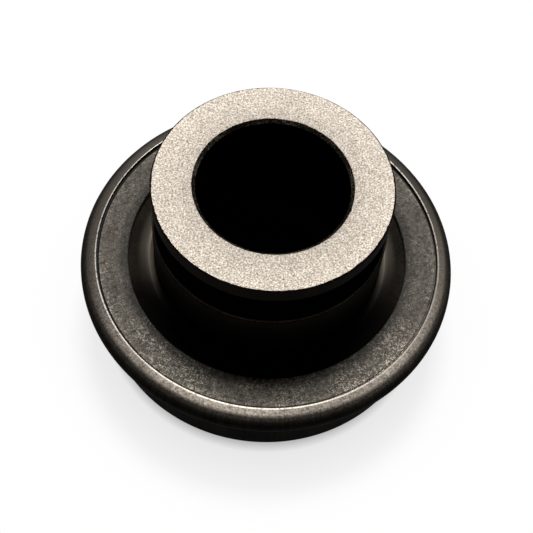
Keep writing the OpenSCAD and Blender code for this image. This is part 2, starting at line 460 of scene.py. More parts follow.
@dataclass(frozen=True)
class BlackenedSinteredIron:
    """Sintered iron, steam blackened, with its end face ground bright.

    The black oxide is dull and faintly brown. The bore is greasy and painted near black as shade, and
    the front of the neck is painted darker toward its foot as shade. It is drier on the base flange,
    rubbed thin in the fillet at the foot of the neck, where a painted highlight brightens its sides,
    and rubbed paler along its edges.
    Grinding opens the grain of the powder: pale metal with dark pores and a few larger holes, small chips
    along its edges and faint rings from the wheel.
    """

    face_z: float
    face_in_r: float
    face_out_r: float
    fillet_r: float
    fillet_to_r: float
    fillet_top_z: float
    bore_top_z: float

    # The ground face. The powder's grain is about 0.15 mm, which is too fine to show, so it is drawn coarser.
    metal: str = "#fef6e9"
    metal_dull: str = "#b4a697"
    pore: str = "#827569"
    grain_mm: float = 0.42
    powder_mm: float = 0.32
    powder_share: float = 0.14
    speckle: Span = (0.40, 0.61)
    pore_mm: float = 0.55
    pore_share: Span = (0.16, 0.30, 0.55, 0.0)
    hole_mm: float = 6.0
    hole_share: Span = (0.015, 0.045, 0.8, 0.0)
    ring_mm: float = 0.5
    ring_tone: Span = (0.3, 0.7, 0.93, 1.05)
    smudge_mm: float = 1.8
    smudge_tone: Span = (0.35, 0.65, 0.94, 1.06)
    chip_mm: float = 1.3
    chip: Span = (0.52, 0.75)
    ragged_mm: float = 0.16
    level_mm: Span = (-0.02, -0.005)
    # By shares of the face's width, from the inside.
    face_tone: Stops = ((0, 0.72), (0.06, 0.82), (0.2, 0.87), (0.55, 0.96), (1, 1.0))

    # The black coat.
    # The bore: greasy, and painted near black as shade.
    bore_grease_and_shade: str = "#020202"
    oxide: str = "#090807"
    oxide_pale: str = "#1e1a15"
    edge_oxide: str = "#5d5449"
    # The fillet's pale band: rubbed oxide, and a painted highlight.
    thin_oxide_and_highlight: str = "#c5b9a9"
    cloud_mm: float = 6.0
    cloud_share: float = 0.5
    blotch: Span = (0.5, 1.0)
    bore_wall: float = 1.0 * MM
    # Painted shade down the front of the neck, darkest at its foot, by millimetres above the fillet.
    neck_shade: Stops = ((0, 0.2), (8, 0.25), (10, 0.4), (12, 0.75), (27.8, 0.7))
    neck_shade_front: Sweep = Sweep(FRONT, ((7, 0.0), (14, 1.0)))
    # By millimetres from the outside of the fillet.
    dry_base: Stops = ((-0.8, 1.0), (0, 1.5))

    # Wear: along the edges in spots, by millimetres from the face's edge and above the fillet, and in the
    # fillet by shares of its width, where the pale band is partly a painted highlight.
    spots: Span = (0.78, 1.0)
    edge_band: Stops = ((-0.06, 0.0), (0.06, 1.0), (0.25, 1.0), (0.35, 0.0))
    neck_band: Stops = ((0, 0.0), (0.1, 1.0), (26.7, 1.0), (26.8, 0.0))
    fillet_rub_and_light_band: Stops = ((0, 1.0), (0.26, 1.0), (0.36, 0.27), (0.52, 0.11), (1, 0.0))
    # Painted highlight: the fillet's pale band shows on the sides, is gone in front and faint behind.
    fillet_light_sides: Sweep = Sweep(95.0, (
        (-22, 0.0), (-13, 0.05), (-9, 0.16), (-4, 0.6), (2, 1.0), (11, 0.8), (19, 0.25), (30, 0.15),
    ))

    coat_roughness: float = 0.68
    worn_roughness: float = 0.38
    ground_roughness: float = 0.8
    ground_metallic: float = 0.4

    def build(self) -> Material:
        """Builds the finish.

        Returns:
            The node material.
        """
        s = Surface("steam_blackened_sintered_iron")
        grain = s.add(Kind.NOISE, s.place, Scale=per_mm(self.grain_mm), Detail=3.0, Roughness=0.65)
        # The fillet's pale band: rubbed oxide with a painted highlight on its sides.
        fillet_rub_and_light = self._fillet_rub_and_light(s)
        face = self._face(s)
        colour = s.add(Kind.MIX_COLOUR, face, self._coat(s, grain, fillet_rub_and_light), self._ground_metal(s, grain))
        smooth = s.add(Kind.MIX, fillet_rub_and_light, self.coat_roughness, self.worn_roughness)
        rough = s.add(Kind.MIX, face, smooth, self.ground_roughness)
        shine = s.add(Kind.MULTIPLY, face, self.ground_metallic)
        metallic = s.add(Kind.MAXIMUM, shine, fillet_rub_and_light)
        bump = s.add(Kind.BUMP, Height=grain, Strength=0.25, Distance=0.04 * MM)
        return s.shade(
            Base_Color=colour,
            Roughness=rough,
            Metallic=metallic,
            Specular_IOR_Level=0.02,
            Normal=bump,
        )

    def _ground_metal(self, s: Surface, grain: Source) -> Node:
        """Adds the colour of the ground face: speckled metal with pores and holes, in rings and smudges.

        Args:
            s: The material.
            grain: The grain of the powder.

        Returns:
            The node with the colour.
        """
        powder = s.add(Kind.CELLS, s.place, Scale=per_mm(self.powder_mm))
        mixed = s.add(Kind.MIX, self.powder_share, grain, powder.outputs["Color"])
        speckle = s.add(Kind.RANGE, mixed, *self.speckle)
        colour = s.add(Kind.MIX_COLOUR, speckle, self.metal_dull, self.metal)
        for kind, size_mm, span, dark in (
            (Kind.CELLS, self.pore_mm, self.pore_share, self.pore),
            (Kind.CELLS_2D, self.hole_mm, self.hole_share, self.edge_oxide),
        ):
            cells = s.add(kind, s.place, Scale=per_mm(size_mm))
            share = s.add(Kind.RANGE, cells, *span)
            colour = s.add(Kind.MIX_COLOUR, share, colour, dark)
        rings = s.add(Kind.NOISE_1D, W=s.radius, Scale=per_mm(self.ring_mm), Detail=2.0)
        ring_tone = s.add(Kind.RANGE, rings, *self.ring_tone)
        smudges = s.add(Kind.NOISE, s.place, Scale=per_mm(self.smudge_mm), Detail=2.0)
        smudge = s.add(Kind.RANGE, smudges, *self.smudge_tone)
        spread = s.by_stops(s.radius, self.face_tone, self.face_out_r - self.face_in_r, self.face_in_r)
        even = s.add(Kind.MULTIPLY, smudge, spread)
        return s.add(Kind.SCALE, colour, s.add(Kind.MULTIPLY, ring_tone, even))

    def _coat(self, s: Surface, grain: Source, fillet_rub_and_light: Source) -> Node:
        """Adds the colour of the black coat: mottled oxide with its wear, and painted shade in the bore and
        down the front of the neck.

        Args:
            s: The material.
            grain: The grain of the powder.
            fillet_rub_and_light: How far the fillet is rubbed, with a painted highlight on its sides.

        Returns:
            The node with the colour.
        """
        cloud = s.add(Kind.NOISE, s.place, Scale=per_mm(self.cloud_mm), Detail=2.0)
        mottle = s.add(Kind.MULTIPLY_ADD, cloud, self.cloud_share, grain)
        blotch = s.add(Kind.RANGE, mottle, *self.blotch)
        oxide = s.add(Kind.MIX_COLOUR, blotch, self.oxide, self.oxide_pale)
        # Painted shade: the front of the neck is darkened toward its foot.
        neck_shade = s.by_stops(s.height, self.neck_shade, MM, self.fillet_top_z)
        front_neck_shade = s.add(Kind.MIX, s.sweep(self.neck_shade_front), 1.0, neck_shade)
        dry_base = s.by_stops(s.radius, self.dry_base, MM, self.fillet_to_r)
        coat = s.add(Kind.SCALE, oxide, s.add(Kind.MULTIPLY, front_neck_shade, dry_base))
        # Painted shade: the bore is greasy and painted near black.
        within = s.add(Kind.LESS_THAN, s.radius, self.face_in_r + self.bore_wall)
        below = s.add(Kind.LESS_THAN, s.height, self.bore_top_z)
        bore = s.add(Kind.MULTIPLY, within, below)
        oiled = s.add(Kind.MIX_COLOUR, bore, coat, self.bore_grease_and_shade)
        edge = self._worn_edges(s, mottle, blotch)
        edged = s.add(Kind.MIX_COLOUR, edge, oiled, self.edge_oxide)
        return s.add(Kind.MIX_COLOUR, fillet_rub_and_light, edged, self.thin_oxide_and_highlight)

    def _worn_edges(self, s: Surface, mottle: Source, blotch: Source) -> Node:
        """Adds how far the outer edges and the chamfer of the bore are rubbed pale.

        Args:
            s: The material.
            mottle: The mottle of the coat.
            blotch: Its pale blotches, which the outer edges wear in.

        Returns:
            The node with the share.
        """
        on_edge = s.by_stops(s.radius, self.edge_band, MM, self.face_out_r)
        on_neck = s.by_stops(s.height, self.neck_band, MM, self.fillet_top_z)
        outer_edge = s.add(Kind.MULTIPLY, on_edge, on_neck)
        mouth = s.add(Kind.LESS_THAN, s.radius, self.face_in_r)
        above = s.add(Kind.GREATER_THAN, s.height, self.bore_top_z)
        chamfer = s.add(Kind.MULTIPLY, mouth, above)
        spotted = s.add(Kind.MULTIPLY, chamfer, s.add(Kind.RANGE, mottle, *self.spots))
        return s.add(Kind.ADD, s.add(Kind.MULTIPLY, outer_edge, blotch), spotted)

    def _fillet_rub_and_light(self, s: Surface) -> Node:
        """Adds how far the oxide in the fillet is rubbed, brightened on its sides as a painted highlight.

        Args:
            s: The material.

        Returns:
            The node with the share.
        """
        thin = s.by_stops(s.radius, self.fillet_rub_and_light_band, self.fillet_to_r - self.fillet_r, self.fillet_r)
        # Painted highlight on the sides of the fillet.
        rubbed_and_lit = s.add(Kind.MULTIPLY, thin, s.sweep(self.fillet_light_sides))
        low = s.add(Kind.LESS_THAN, s.height, self.fillet_top_z)
        out = s.add(Kind.GREATER_THAN, s.radius, self.fillet_r)
        return s.add(Kind.MULTIPLY, s.add(Kind.MULTIPLY, low, out), rubbed_and_lit)

    def _face(self, s: Surface) -> Node:
        """Adds where the face is ground, which ends raggedly at its edges.

        Args:
            s: The material.

        Returns:
            The node with 1 on the face and 0 off it.
        """
        level = s.add(Kind.RANGE, s.height, *(self.face_z + up * MM for up in self.level_mm))
        chips = s.add(Kind.NOISE, s.place, Scale=per_mm(self.chip_mm), Detail=2.0)
        rag = s.add(Kind.RANGE, chips, *self.chip, To_Max=self.ragged_mm * MM)
        inside = s.add(Kind.LESS_THAN, s.add(Kind.ADD, s.radius, rag), self.face_out_r)
        outside = s.add(Kind.GREATER_THAN, s.add(Kind.SUBTRACT, s.radius, rag), self.face_in_r)
        return s.add(Kind.MULTIPLY, s.add(Kind.MULTIPLY, inside, outside), level)


@dataclass(frozen=True)
class PhosphatedPlate:
    """Stamped sheet steel with a dull grey phosphate coat.

    The coat is dark and mottled, and handling has left fine pale scuffs that wander every way; toward
    the front they grow stronger as painted glints. It is darker round the hole and a little paler by
    its outer edge, and in front, beside the hole, painted light lifts the collar's shadow. The border
    under the rolled lip is painted near black as shade in the seam.
    """

    hole_r: float
    land_r: float
    dark: str = "#36312b"
    pale: str = "#6a6359"
    scuff: str = "#e0d4c1"
    # Painted shade in the seam: the border under the rolled lip is near black.
    seam_shade: str = "#060505"
    mottle_mm: float = 0.9
    mottle_tone: Span = (0.36, 0.64)
    scuff_mm: float = 0.48
    scuff_share: Span = (0.52, 0.68, 0.0, 0.95)
    patch_mm: float = 9.0
    patch_share: Span = (0.36, 0.64, 0.3, 1.0)
    # More scuffs toward the front: painted glints.
    front_glints: Sweep = Sweep(FRONT, ((-4, 0.3), (30, 1.0)))
    # By millimetres from the hole: darker round the hole and a little paler by the outer edge.
    hole_tone: Stops = ((0, 0.25), (0.7, 0.33), (1.6, 0.45), (2.5, 0.78), (5.7, 0.84), (6.8, 1.15), (7.1, 1.15))
    # Painted light that lifts the collar's shadow in front, beside the hole, by millimetres from the hole.
    front_light: Stops = ((0.5, 1.0), (1.5, 0.0))
    front_light_side: Sweep = Sweep(FRONT, ((24, 0.0), (33, 1.0)))
    front_light_gain: float = 0.8
    seam_shade_past: float = 0.08 * MM
    off_centre: tuple[float, float] = (0.21 * MM, -0.17 * MM)

    def build(self) -> Material:
        """Builds the finish.

        Returns:
            The node material.
        """
        s = Surface("phosphated_plate_steel")
        mottle = s.add(Kind.NOISE, s.place, Scale=per_mm(self.mottle_mm), Detail=4.0, Roughness=0.7)
        tone = s.add(Kind.RANGE, mottle, *self.mottle_tone)
        base = s.add(Kind.MIX_COLOUR, tone, self.dark, self.pale)
        scuffed = s.add(Kind.MIX_COLOUR, self._scuffs(s), base, self.scuff)
        toned = s.add(Kind.SCALE, scuffed, self._hole_tone_and_front_light(s))
        # Painted shade: the border in the seam under the lip is near black.
        border = s.add(Kind.GREATER_THAN, s.radius_about(self.off_centre), self.land_r + self.seam_shade_past)
        colour = s.add(Kind.MIX_COLOUR, border, toned, self.seam_shade)
        bump = s.add(Kind.BUMP, Height=mottle, Strength=0.2, Distance=0.05 * MM)
        return s.shade(Base_Color=colour, Roughness=0.7, Specular_IOR_Level=0.25, Normal=bump)

    def _scuffs(self, s: Surface) -> Node:
        """Adds how far the coat is scuffed, in patches and more so in front as painted glints.

        Args:
            s: The material.

        Returns:
            The node with the share.
        """
        patch = s.add(Kind.NOISE, s.place, Scale=per_mm(self.patch_mm), Detail=1.0)
        amount = s.add(Kind.RANGE, patch, *self.patch_share)
        # The extra scuffs in front are painted glints.
        share = s.add(Kind.MULTIPLY, amount, s.sweep(self.front_glints))
        worms = s.add(Kind.NOISE, s.place, Scale=per_mm(self.scuff_mm), Detail=1.0, Distortion=1.5)
        mark = s.add(Kind.RANGE, worms, *self.scuff_share)
        return s.add(Kind.MULTIPLY, mark, share)

    def _hole_tone_and_front_light(self, s: Surface) -> Node:
        """Adds the tone round the hole, with painted light that lifts the collar's shadow in front.

        Args:
            s: The material.

        Returns:
            The node with the gain.
        """
        # Darker round the hole and a little paler by the outer edge.
        hole_tone = s.by_stops(s.radius, self.hole_tone, MM, self.hole_r)
        # Painted light: lifts the collar's shadow in front, beside the hole.
        front_light = s.add(Kind.MULTIPLY, s.by_stops(s.radius, self.front_light, MM, self.hole_r), s.sweep(self.front_light_side))
        return s.add(Kind.MULTIPLY, hole_tone, s.add(Kind.MULTIPLY_ADD, front_light, self.front_light_gain, 1.0))


@dataclass(frozen=True)
class RolledShellSteel:
    """Deep drawn sheet steel, blackened, and burnished where the rim was rolled over.

    The roller has rubbed the black off the top of the rim, so it is satin grey there with short marks
    across the roll, which grow stronger toward the front as painted glints. The cut edge of the lip is
    bright, with a painted highlight that varies round the rim, and the roller ran a little off centre.
    The satin is painted brighter toward the front and darker on the sides and behind, as painted
    highlight and shade.
    """

    lip_r: float
    lip_z: float

    # The black coat, with streaks from drawing.
    black: str = "#060505"
    black_pale: str = "#191612"
    cloud_mm: float = 5.0
    streak: Span = (0.8, 1.25)

    # The satin of the rim, with the roller's marks.
    bare: str = "#8b8379"
    bare_dark: str = "#3f3a34"
    grain_mm: float = 0.5
    roller_mm: float = 0.9
    roller_share: float = 0.3
    mark_tone: Span = (0.44, 0.88)
    even_tone: float = 0.2
    # Painted glints: the marks are strongest toward the front and even behind.
    front_glints_mm: Span = (-12.0, 38.0)
    front_glints_least: float = 0.2
    lip_drop_mm: Span = (0.04, 0.5)
    # Painted highlight and shade: these sweeps brighten the satin in front and darken the sides and back.
    lip_light_and_shade: Sweep = Sweep(-78.0, (
        (-28, 0.6), (-14, 0.75), (0, 1.0), (14, 1.3), (27, 1.4), (36, 1.2), (41, 0.9),
    ))
    lip_light_and_shade_left: Sweep = Sweep(-125.0, ((22, 1.0), (36, 0.82)))
    roll_light_and_shade: Sweep = Sweep(-78.0, (
        (-28, 0.25), (-14, 0.36), (0, 0.6), (14, 1.1), (27, 1.25), (36, 1.4), (41, 1.5),
    ))
    # Painted highlight and shade, side by side round the rim.
    side_light_and_shade: tuple[Sweep, ...] = (
        Sweep(0.0, (
            (-34, 1.0), (-27, 0.78), (-14, 0.9), (-1, 1.08), (14, 0.75), (28, 0.76), (37, 0.85), (42, 0.84),
        )),
        Sweep(60.0, ((28, 1.0), (37, 0.68))),
        Sweep(-30.0, ((31, 1.0), (39, 1.4), (41.5, 1.7))),
    )

    # How far the black is rubbed off, by millimetres below the lip.
    rubbed_far: Stops = ((0, 0.82), (0.48, 1.0), (0.68, 0.42), (1.0, 0.2), (1.6, 0.04), (2.4, 0.0))
    rubbed_near: Stops = (
        (0, 0.82), (0.26, 1.0), (0.41, 0.7), (0.66, 0.21), (1.0, 0.15), (1.4, 0.045), (2.4, 0.0),
    )
    near_side: Sweep = Sweep(-60.0, ((-12, 0.0), (0, 0.7), (10, 1.0)))

    # The bright edge of the lip, by halves of its width from its middle.
    edge: str = "#c6c0b6"
    edge_mm: float = 0.3
    edge_in_mm: float = 0.20
    edge_depth: float = 0.08 * MM
    off_centre: tuple[float, float] = (0.09 * MM, -0.12 * MM)
    edge_line: Stops = ((-1.4, 0.0), (-0.6, 1.0), (0.6, 1.0), (1.4, 0.0))
    edge_inside: Stops = ((-2, 0.3), (-1, 1.0))
    edge_rubs: Span = (0.36, 0.48, 0.25, 1.0)
    # Painted highlight: how bright the edge shows varies round the rim.
    edge_highlight_round: Sweep = Sweep(-45.0, (
        (-40, 0.7), (-24, 0.95), (-11, 1.0), (2, 0.47), (12, 0.5), (28, 0.5), (34, 0.45), (41.5, 0.42),
    ))

    def build(self) -> Material:
        """Builds the finish.

        Returns:
            The node material.
        """
        s = Surface("rolled_shell_steel")
        grain = s.add(Kind.NOISE, s.place, Scale=per_mm(self.grain_mm), Detail=3.0, Roughness=0.6)
        on_lip = s.add(Kind.SCALE, s.around, self.lip_r)
        roller = s.add(Kind.NOISE, on_lip, Scale=per_mm(self.roller_mm), Detail=3.0, Roughness=0.7)
        mixed = s.add(Kind.MULTIPLY_ADD, roller, self.roller_share, grain)
        marks = s.add(Kind.RANGE, mixed, *self.mark_tone)
        drop = s.add(Kind.SUBTRACT, self.lip_z, s.height)
        away = s.radius_about(self.off_centre)
        middle = self.lip_r + self.edge_in_mm * MM
        half = 0.5 * self.edge_mm * MM
        inside = s.by_stops(away, self.edge_inside, half, middle)
        bared = s.add(Kind.MULTIPLY, self._rubbed(s, drop), inside)
        body = s.add(Kind.MIX_COLOUR, bared, self._coat(s, roller), self._satin(s, marks, drop))
        line = s.by_stops(away, self.edge_line, half, middle)
        # The bright lip edge: its bare cut edge, with a painted highlight.
        colour = s.add(Kind.MIX_COLOUR, self._bright_edge_and_highlight(s, roller, line), body, self.edge)
        bump = s.add(Kind.BUMP, Height=marks, Strength=0.05, Distance=0.03 * MM)
        return s.shade(
            Base_Color=colour,
            Roughness=0.414,
            Metallic=bared,
            Specular_IOR_Level=0.006,
            Normal=bump,
            Anisotropic=0.926,
            Anisotropic_Rotation=0.25,
            Tangent=s.add(Kind.TANGENT),
        )

    def _coat(self, s: Surface, roller: Source) -> Node:
        """Adds the colour of the black coat.

        Args:
            s: The material.
            roller: The marks across the roll.

        Returns:
            The node with the colour.
        """
        cloud = s.add(Kind.NOISE, s.place, Scale=per_mm(self.cloud_mm), Detail=2.0)
        streak = s.add(Kind.RANGE, s.add(Kind.ADD, cloud, roller), *self.streak)
        return s.add(Kind.MIX_COLOUR, streak, self.black, self.black_pale)

    def _satin(self, s: Surface, marks: Source, drop: Source) -> Node:
        """Adds the colour of the bare steel, more even behind, with painted glints toward the front and
        painted highlight and shade round the rim.

        Args:
            s: The material.
            marks: The grain and the marks across the roll.
            drop: The distance below the lip.

        Returns:
            The node with the colour.
        """
        # Painted glints: the marks are strongest toward the front and even behind.
        front = (side * MM for side in self.front_glints_mm)
        front_glints = s.add(Kind.SMOOTH_RANGE, s.along(FRONT), *front, self.front_glints_least)
        uneven = s.add(Kind.MIX, front_glints, self.even_tone, marks)
        bare = s.add(Kind.MIX_COLOUR, uneven, self.bare_dark, self.bare)
        # Painted highlight and shade: the satin's brightness changes round the rim.
        lip_light_and_shade = s.add(Kind.MULTIPLY, s.sweep(self.lip_light_and_shade), s.sweep(self.lip_light_and_shade_left))
        down = s.add(Kind.RANGE, drop, *(below * MM for below in self.lip_drop_mm))
        gain = s.add(Kind.MIX, down, lip_light_and_shade, s.sweep(self.roll_light_and_shade))
        for side in self.side_light_and_shade:
            gain = s.add(Kind.MULTIPLY, gain, s.sweep(side))
        return s.add(Kind.SCALE, bare, gain)

    def _rubbed(self, s: Surface, drop: Source) -> Node:
        """Adds how far the black is rubbed off.

        Args:
            s: The material.
            drop: The distance below the lip.

        Returns:
            The node with the share.
        """
        far = s.by_stops(drop, self.rubbed_far, MM)
        near = s.by_stops(drop, self.rubbed_near, MM)
        return s.add(Kind.MIX, s.sweep(self.near_side), far, near)

    def _bright_edge_and_highlight(self, s: Surface, roller: Source, line: Source) -> Node:
        """Adds how far the cut edge of the lip is bright, with a painted highlight that varies round the rim.

        Args:
            s: The material.
            roller: The marks across the roll, which break the edge.
            line: Where the edge lies.

        Returns:
            The node with the share.
        """
        # Painted highlight: the edge's brightness varies round the rim.
        shown = s.add(Kind.MULTIPLY, line, s.sweep(self.edge_highlight_round))
        high = s.add(Kind.GREATER_THAN, s.height, self.lip_z - self.edge_depth)
        rubs = s.add(Kind.RANGE, roller, *self.edge_rubs)
        return s.add(Kind.MULTIPLY, s.add(Kind.MULTIPLY, shown, high), rubs)


@dataclass(frozen=True)
class GroundBearingSteel:
    """Hardened bearing steel, ground in the round.

    Bright and cool, with fine rings from the wheel. The rings are some hundredths of a millimetre wide, which
    is too fine to show, so they are drawn coarser.
    """

    name: str
    roughness: float = 0.3
    bright: str = "#b9bbbd"
    dull: str = "#8f9193"
    ring_mm: float = 0.35

    def build(self) -> Material:
        """Builds the finish.

        Returns:
            The node material.
        """
        s = Surface(self.name)
        section = s.add(Kind.COMBINE, s.radius, s.height)
        rings = s.add(Kind.NOISE, section, Scale=per_mm(self.ring_mm), Detail=3.0)
        colour = s.add(Kind.MIX_COLOUR, rings, self.dull, self.bright)
        bump = s.add(Kind.BUMP, Height=rings, Strength=0.1, Distance=0.01 * MM)
        return s.shade(Base_Color=colour, Roughness=self.roughness, Metallic=1.0, Normal=bump)


@dataclass(frozen=True)
class PolishedBallSteel:
    """Chrome steel balls, lapped to a mirror, with a faint haze of grease."""

    bright: str = "#d4d6d9"
    haze: str = "#b7b4a8"
    haze_mm: float = 3.0

    def build(self) -> Material:
        """Builds the finish.

        Returns:
            The node material.
        """
        s = Surface("polished_ball_steel")
        haze = s.add(Kind.NOISE, s.place, Scale=per_mm(self.haze_mm), Detail=2.0)
        colour = s.add(Kind.MIX_COLOUR, haze, self.bright, self.haze)
        rough = s.add(Kind.RANGE, haze, To_Min=0.04, To_Max=0.2)
        return s.shade(Base_Color=colour, Roughness=rough, Metallic=1.0)


@dataclass(frozen=True)
class Moulding:
    """A moulded plastic or rubber: two near tones in a grain or in patches, dull, with a slight relief."""

    name: str
    dark: str
    pale: str
    grain_mm: float
    detail: float
    roughness: float
    ior: float
    relief: float

    def build(self) -> Material:
        """Builds the finish.

        Returns:
            The node material.
        """
        s = Surface(self.name)
        grain = s.add(Kind.NOISE, s.place, Scale=per_mm(self.grain_mm), Detail=self.detail)
        colour = s.add(Kind.MIX_COLOUR, grain, self.dark, self.pale)
        bump = s.add(Kind.BUMP, Height=grain, Strength=self.relief, Distance=0.03 * MM)
        return s.shade(Base_Color=colour, Roughness=self.roughness, IOR=self.ior, Normal=bump)


# Glass filled polyamide, moulded: brownish black with a fine dull grain. The glass fibres are about 0.01 mm
# thick, which is too fine to show, so the grain is drawn coarser.
POLYAMIDE = Moulding(
    "moulded_polyamide", "#2e2b23", "#454034",
    grain_mm=0.4, detail=3.0, roughness=0.55, ior=1.53, relief=0.2,
)
# Nitrile rubber, moulded: near black and dull, with a bloom that greys it in patches.
NITRILE_RUBBER = Moulding(
    "moulded_nitrile_rubber", "#151516", "#242425",
    grain_mm=2.5, detail=4.0, roughness=0.65, ior=1.52, relief=0.15,
)


def node_reach(node: str) -> tuple[float, float, float]:
    """Returns a round node's outside radius, lowest and highest height, to a hundredth of a millimetre."""
    low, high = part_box(node)
    return round((high.y - low.y) / 2, 5), round(low.z, 5), round(high.z, 5)


@dataclass
class Collar:
    """The sintered collar: top flange, fork groove, neck and base flange in one piece."""

    turning: TurningTree
    bore_r: float
    groove_r: float
    groove_w: float
    outside_r: float = 27.6 * MM
    top_flange_t: float = 4.2 * MM
    groove_fillet: float = 0.8 * MM
    bore_chamfer: float = 0.8 * MM
    edge_break: float = 0.4 * MM
    base_flange_t: float = 3.2 * MM
    base_fillet: float = 3.0 * MM
    worn_reach: float = 4.2 * MM
    grease_land: float = 9.0 * MM
    grease_w: float = 10.0 * MM
    grease_depth: float = 1.2 * MM

    def section(self) -> list[Corner]:
        """Lays out the collar's section.

        Returns:
            Its corners, from the foot of the bore outwards.
        """
        base_r, base_z, top_z = node_reach("collar")
        groove_top = top_z - self.top_flange_t
        groove_low = groove_top - self.groove_w
        flange_top = base_z + self.base_flange_t
        recess_low = base_z + self.grease_land
        recess_high = recess_low + self.grease_w
        recess_r = self.bore_r + self.grease_depth
        edge = self.edge_break
        return [
            Corner(self.bore_r + self.bore_chamfer, base_z),
            Corner(base_r - edge, base_z),
            Corner(base_r, base_z + edge),
            Corner(base_r, flange_top - edge),
            Corner(base_r - edge, flange_top),
            Corner(self.outside_r, flange_top, self.base_fillet),
            Corner(self.outside_r, groove_low - edge),
            Corner(self.outside_r - edge, groove_low),
            Corner(self.groove_r, groove_low, self.groove_fillet),
            Corner(self.groove_r, groove_top, self.groove_fillet),
            Corner(self.outside_r - edge, groove_top),
            Corner(self.outside_r, groove_top + edge),
            Corner(self.outside_r, top_z - edge),
            Corner(self.outside_r - edge, top_z),
            Corner(self.bore_r + self.bore_chamfer, top_z),
            Corner(self.bore_r, top_z - self.bore_chamfer),
            Corner(self.bore_r, recess_high),
            Corner(recess_r, recess_high - self.grease_depth),
            Corner(recess_r, recess_low + self.grease_depth),
            Corner(self.bore_r, recess_low),
            Corner(self.bore_r, base_z + self.bore_chamfer),
        ]

    def build(self) -> Object:
        """Turns the collar and dresses it.

        Returns:
            The collar's object.
        """
        _, base_z, top_z = node_reach("collar")
        finish = BlackenedSinteredIron(
            face_z=top_z,
            face_in_r=self.bore_r + self.bore_chamfer,
            face_out_r=self.outside_r - self.edge_break,
            fillet_r=self.outside_r + HOLD,
            fillet_to_r=self.outside_r + self.worn_reach,
            fillet_top_z=base_z + self.base_flange_t + self.base_fillet,
            bore_top_z=top_z - self.bore_chamfer,
        ).build()
        return self.turning.turn("sintered_collar", self.section(), finish)


@dataclass
class BackPlate:
    """The stamped plate: a raised middle and a border that bends down inside the rolled rim."""

    turning: TurningTree
    hole_r: float = 33.9 * MM
    land_r: float = 41.1 * MM
    plate_t: float = 1.5 * MM
    plate_step: float = 0.3 * MM
    bend_in_r: float = 1.2 * MM
    land_round: float = 0.25 * MM

    def section(self) -> list[Corner]:
        """Lays out the plate's section.

        Returns:
            Its corners, from the underside of the hole outwards.
        """
        border_r, foot_z, land_z = node_reach("back_plate")
        under_z = land_z - self.plate_t
        border_z = land_z - self.plate_step
        bend_out_r = self.bend_in_r + self.plate_t
        return [
            Corner(self.hole_r, under_z),
            Corner(self.land_r, under_z),
            Corner(self.land_r, border_z - self.plate_t),
            Corner(border_r - self.plate_t, border_z - self.plate_t, self.bend_in_r - HOLD),
            Corner(border_r - self.plate_t, foot_z),
            Corner(border_r, foot_z),
            Corner(border_r, border_z, bend_out_r - 4 * HOLD),
            Corner(self.land_r, border_z),
            Corner(self.land_r, land_z, self.land_round),
            Corner(self.hole_r, land_z, self.land_round),
        ]

    def build(self) -> Object:
        """Turns the plate and dresses it, and returns its object."""
        finish = PhosphatedPlate(self.hole_r, self.land_r - 2 * HOLD).build()
        return self.turning.turn("stamped_back_plate", self.section(), finish)


@dataclass
class Shell:
    """The drawn shell: cup, shoulder and the rim rolled over the plate's border."""

    turning: TurningTree
    sheet_t: float = 0.9 * MM
    rim_reach: float = 4.65 * MM
    lip_flat: float = 0.25 * MM
    roll_r: float = 3.7 * MM
    fold_in_r: float = 1.4 * MM
    shoulder_in_r: float = 0.8 * MM
    front_in_r: float = 0.6 * MM
    front_lip: float = 3.3 * MM

    def section(self) -> list[Corner]:
        """Lays out the shell's section.

        Returns:
            Its corners, from the front hole outwards.
        """
        rim_r, front_z, lip_z = node_reach("shell")
        shoulder_z = node_reach("collar")[1]
        t = self.sheet_t
        cup_r = rim_r - self.rim_reach
        cup_in_r = cup_r - t
        hole_r = cup_in_r - self.front_lip
        lip_r = rim_r - self.roll_r - self.lip_flat
        return [
            Corner(hole_r, front_z),
            Corner(cup_r, front_z, self.front_in_r + t),
            Corner(cup_r, shoulder_z - t, self.shoulder_in_r),
            Corner(rim_r, shoulder_z - t, self.fold_in_r + t - HOLD),
            Corner(rim_r, lip_z, self.roll_r - HOLD),
            Corner(lip_r, lip_z),
            Corner(lip_r, lip_z - t),
            Corner(rim_r - t, lip_z - t, self.roll_r - t - HOLD),
            Corner(rim_r - t, shoulder_z, self.fold_in_r - HOLD),
            Corner(cup_in_r, shoulder_z, self.shoulder_in_r + t),
            Corner(cup_in_r, front_z + t, self.front_in_r),
            Corner(hole_r, front_z + t),
        ]

    def build(self) -> Object:
        """Turns the shell and dresses it.

        Returns:
            The shell's object.
        """
        rim_r, _, lip_z = node_reach("shell")
        finish = RolledShellSteel(lip_r=rim_r - self.roll_r - self.lip_flat, lip_z=lip_z).build()
        return self.turning.turn("rolled_shell", self.section(), finish)


@dataclass
class BallRace:
    """The race, balls, cage and seals inside the shell, which keep their solids."""

    nodes: dict[str, Object]

    def dress(self) -> None:
        """Gives each solid its finish."""
        polished = PolishedBallSteel().build()
        rubber = NITRILE_RUBBER.build()
        finishes = {
            "thrust_ring": GroundBearingSteel("ground_bearing_steel").build(),
            "outer_race": GroundBearingSteel("turned_race_steel", roughness=0.38).build(),
            "ball_cage": POLYAMIDE.build(),
            "front_seal": rubber,
            "rear_seal": rubber,
        }
        for name, node in self.nodes.items():
            finish = finishes.get(name, polished if name.startswith("ball_") else None)
            if finish is None:
                continue
            for slot in node.material_slots:
                slot.material = finish
            LOG.info("dressed %s in %s", name, finish.name)


